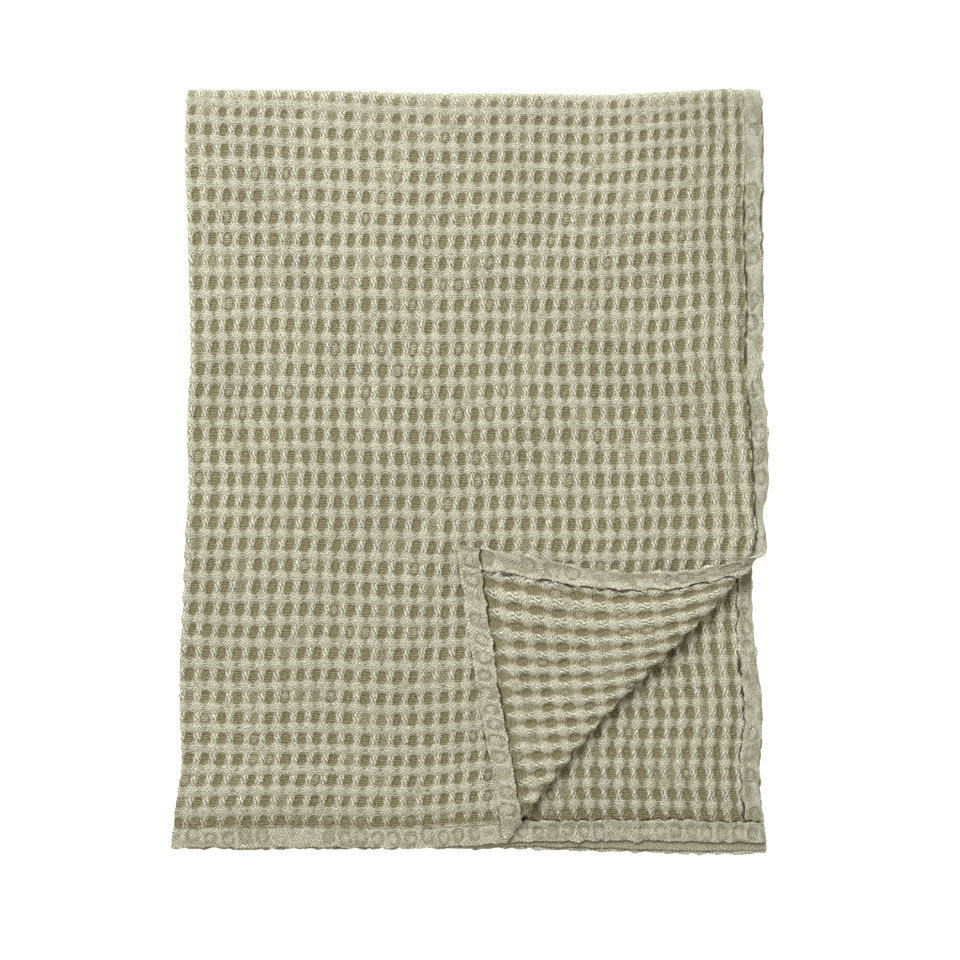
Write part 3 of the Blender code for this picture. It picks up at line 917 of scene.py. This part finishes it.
def cotton():
    """Cotton by height: well colour with painted shade to float colour, with threads as streaks in bump and
    painted light and shade.
    """
    material = bpy.data.materials.new("waffle_cotton")
    material.use_nodes = True
    tree = material.node_tree
    shader = tree.nodes["Principled BSDF"]
    weave = signal(tree, "ShaderNodeUVMap", "UV", uv_map="weave")
    column, row = [signal(tree, "ShaderNodeSeparateXYZ", output, {0: weave}) for output in "XY"]
    tall, hem, ground, ring, painted_groove_shade, on_bead = [
        signal(tree, "ShaderNodeAttribute", "Fac", attribute_name=name) for name in MESH_VALUES]
    place = signal(tree, "ShaderNodeTexCoord", "Object")

    # where a point is: in a cell, on a bead, on a link between two floats, or else on a float
    along = maths("ABSOLUTE", row - maths("ROUND", row))
    across = column - maths("ROUND", column)
    in_cell = maths("MAXIMUM", smooth_range(tall, 0.15, 0.50, 1.0, 0.0), ground)
    on_link = smooth_range(along, 0.22, 0.30, 1.0, 0.0)
    on_link = on_link * smooth_range(maths("ABSOLUTE", across), 0.34, 0.44)
    on_top = (1.0 - on_bead) * (1.0 - in_cell)

    # threads by millimetres across and along: level ones, dots, and curls down the beads
    wide = column * (CELL_WIDE / MM)
    long = row * (CELL_TALL / MM)
    wander = thread_noise(wide, long, 0.22, 0.22)
    wander_too = thread_noise(long, wide, 0.25, 0.25)
    level = thread_wave(long, THREAD_LEVEL, wander) * 0.65
    level = level + (thread_noise(wide, long, 0.42, 1.15) * 4.4 - 2.2)
    dots = thread_wave(wide, THREAD_DOTS, wander_too) * thread_wave(long, THREAD_DOTS, wander)
    dots = dots * 1.3 + (thread_noise(wide, long, 1.25, 1.45) * 3.6 - 1.8)
    bead = {"Vector": joined(maths("ROUND", column), maths("FLOOR", row))}
    chance = signal(tree, "ShaderNodeTexWhiteNoise", "Value", bead, noise_dimensions="2D")
    swing = maths("SINE", (maths("FRACT", row) - 0.5) * (TURN / CURL_LONG))
    curl = swing * CURL_WIDE + across * (CELL_WIDE / MM)
    start = chance * 2.4 + (math.pi - 1.2)
    twist = maths("COSINE", curl * (TURN / THREAD_TWIST) + start)
    twist = twist + (thread_noise(wide - long, wide + long, 0.30, 0.70) * 5.0 - 2.5)
    fibre = noise(place, 1500.0, 1.5, 0.6)

    # the bump: threads of the kind that shows, and the sunk rim of a popped cell
    level_line = smooth_range(level, -0.9, 0.7)
    weave_dot = smooth_range(dots, -0.9, 0.7)
    twist_line = smooth_range(twist, -1.00, 0.60)
    level_share = smooth_range(hem, 0.2, 0.6, 0.28, 0.05)
    top_part = weave_dot + (level_line - weave_dot) * level_share
    cell_part = level_line * 0.8 + weave_dot * 0.2
    texture = twist_line * on_bead + top_part * on_top + cell_part * in_cell
    rim_line = smooth_range(maths("ABSOLUTE", ring - 0.93), 0.0, 0.17, 1.0, 0.0)
    rim_line = rim_line * smooth_range(noise(place, 260.0), 0.36, 0.58, 0.30, 1.0)
    rim_line = rim_line * (1.0 - 0.30 * hem)
    texture = texture - 0.4 * rim_line + 0.4 * fibre
    bump = {"Strength": BUMP, "Distance": BUMP_TALL, "Height": texture}

    # the colour: by height, darker low in the cells and on the beads partly as painted shade, with
    # painted shade in the hems' grooves and gaps, then painted light and shade on the threads
    rise = smooth_range(tall, 0.14, 0.90) * (1.0 - 0.16 * on_bead) * (1.0 - 0.45 * ground)
    rise = maths("MAXIMUM", rise, 0.50 * hem)
    colour = blend_colour(rise, WELL_COLOUR_AND_SHADE, FLOAT_COLOUR)
    # painted shade in the grooves and gaps of the hems
    colour = blend_colour(smooth_range(painted_groove_shade, 0.15, 0.80, 0.0, 0.92), colour, GROOVE_SHADE_COLOUR)
    # painted light and shade on the threads: darker in the gaps between them, lighter on their crests, with
    # fibre flecks
    light = on_bead * (twist_line - 0.62) * 0.74 + on_top * (top_part - 0.58) * 0.60
    light = light + in_cell * (cell_part - 0.58) * 0.50 + on_link * (level_line - 0.60) * 0.30
    light = light + smooth_range(fibre, 0.33, 0.67, -0.40, 0.40)
    cloudy = smooth_range(noise(place, 16.0), 0.3, 0.7, -0.04, 0.04)
    shade = light * (1.0 - 0.25 * hem) + cloudy + 1.0
    # painted shade in the sunk rim of a popped cell and in the rings of a hem
    shade = shade * smooth_range(rim_line, 0.0, 1.0, 1.0, 0.74)
    colour = signal(tree, "ShaderNodeVectorMath", "Vector", {0: colour, "Scale": shade},
                    operation="SCALE")
    feed(shader, {
        "Base Color": colour,
        "Normal": signal(tree, "ShaderNodeBump", "Normal", bump),
        "Roughness": 0.92,
        "Specular IOR Level": 0.20,
        "Sheen Weight": 0.12,
    })
    return material


cotton_material = cotton()
print("cotton has", len(cotton_material.node_tree.nodes), "nodes")

# %% [markdown]
# ## The blanket
# The four layers are five grids of the same cloth, since the top one is cut in two. The relief
# stands out on the face, except where the back shows: on the second layer, and on the turned
# corner, past the crease. Only what can be seen carries the waffle.

# %% The five grids
def always(value):
    """The same value all over a grid."""
    return lambda u, v: value + 0 * u


def turned_over(u, v):
    """1 past the crease, where the back of the corner shows, and 0 before it."""
    across = bend_side(u, 0.0)[0]
    along = bend_top(v, 0.0)[0]
    outward = crease_place(ORIGIN_X + across, ORIGIN_Y + along)[1]
    top = (u > SIDE_ARC) & (v < -TOP_ARC)
    return np.where(top, eased((outward + 5 * MM) / (4 * MM)), 0.0)


def second_back(u, _):
    """1 over the second layer, easing to 0 before the left fold."""
    return eased((-u - 20 * MM) / (20 * MM))


def second_detail(u, v):
    """1 near the corner of the second layer that shows, and along its hems."""
    corner = eased((-u - SHOWN_U) / (4 * MM)) * eased((-v - SHOWN_V) / (4 * MM))
    return np.maximum(corner, (-u > inner_u) | (-v > inner_v))


points_top, data_top = cloth(across_top, along_top, turned_over, always(1), FLAP_CELLS)
cut_row = int(np.argmin(np.abs(along_top["place"] + CUT)))
halves = {"blanket_top_upper": slice(0, cut_row + 1), "blanket_top_lower": slice(cut_row, None)}
pieces = []
for name, rows in halves.items():
    data = {key: value[rows] for key, value in data_top.items()}
    pieces.append(add_cloth(name, points_top[rows], data, True, cotton_material))
UNDER_LAYERS = (
    # name, axes across and along, where the back is up, where the waffle is, other way round
    ("blanket_second", across_second, along_second, second_back, second_detail, False),
    ("blanket_third", across_third, along_third, always(0), always(0), True),
    ("blanket_fourth", across_top, along_fourth, always(0), always(1), False),
)
for name, across, along, back_up, detail, flip in UNDER_LAYERS:
    points, data = cloth(across, along, back_up, detail, SECOND_CELLS)
    pieces.append(add_cloth(name, points, data, flip, cotton_material))

# %% [markdown]
# ## Floor, light and camera
# A pale floor that glows a little, so that it stays plain. A wide soft lamp stands beyond the
# folded end, to the left, and rakes over the waffle. A weak one at the open end fills its
# shadows. The lens is long and looks straight down, so that the cells keep their shape.

# %% Floor, light and camera
floor_x, floor_y = np.meshgrid([-3.0, 0.0, 3.0], [-3.0, 0.0, 3.0])
floor_points = np.stack([floor_x, floor_y, 0 * floor_x], axis=-1).reshape(-1, 3)
floor_mesh = bpy.data.meshes.new("floor")
floor_mesh.from_pydata(floor_points, [], grid_faces(3, 3, False))
floor = into_scene("floor", floor_mesh)
floor_material = bpy.data.materials.new("floor_white")
floor_material.use_nodes = True
feed(floor_material.node_tree.nodes["Principled BSDF"], {
    "Base Color": (0.93, 0.93, 0.93, 1.0),
    "Roughness": 0.9,
    "Emission Color": (1.0, 1.0, 1.0, 1.0),
    "Emission Strength": 0.6,
})
floor.data.materials.append(floor_material)


def soft_light(name, place, size, power, colour):
    """A square area light at a place, aimed at the middle of the blanket."""
    light = bpy.data.lights.new(name, "AREA")
    light.shape = "SQUARE"
    light.size = size
    light.energy = power
    light.color = colour
    lamp = into_scene(name, light)
    lamp.location = place
    away = np.array(place) / np.linalg.norm(place)
    lamp.rotation_euler = (math.acos(away[2]), 0.0, math.atan2(away[0], -away[1]))


soft_light("overhead_soft", (-0.50, 1.20, 1.77), 1.1, 58.5, (0.97, 1.0, 1.06))
soft_light("low_fill", (0.35, -1.50, 0.95), 0.9, 3.0, (1.0, 0.99, 0.95))
world = bpy.data.worlds.new("studio")
world.use_nodes = True
feed(world.node_tree.nodes["Background"], {"Color": (1.06, 1.0, 0.88, 1.0), "Strength": 0.44})
bpy.context.scene.world = world
bpy.context.scene.view_settings.view_transform = "Standard"

VIEW_WIDTH = 0.624        # seen across the picture, at half the stack's height
CAMERA_HEIGHT = 3.2
SENSOR = 36.0
camera_data = bpy.data.cameras.new("camera")
camera_data.sensor_width = SENSOR
camera_data.lens = SENSOR * (CAMERA_HEIGHT - 0.015) / VIEW_WIDTH
camera = into_scene("camera", camera_data)
camera.location = (6.8 * MM, -5.5 * MM, CAMERA_HEIGHT)
bpy.context.scene.camera = camera
print("lens, mm:", round(camera_data.lens, 1))

# %% [markdown]
# ## Hand over
# Every grid belongs to the one cloth, lies where the solid lies and takes its finish.

for piece in pieces:
    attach(piece, "root")
    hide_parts("blanket")
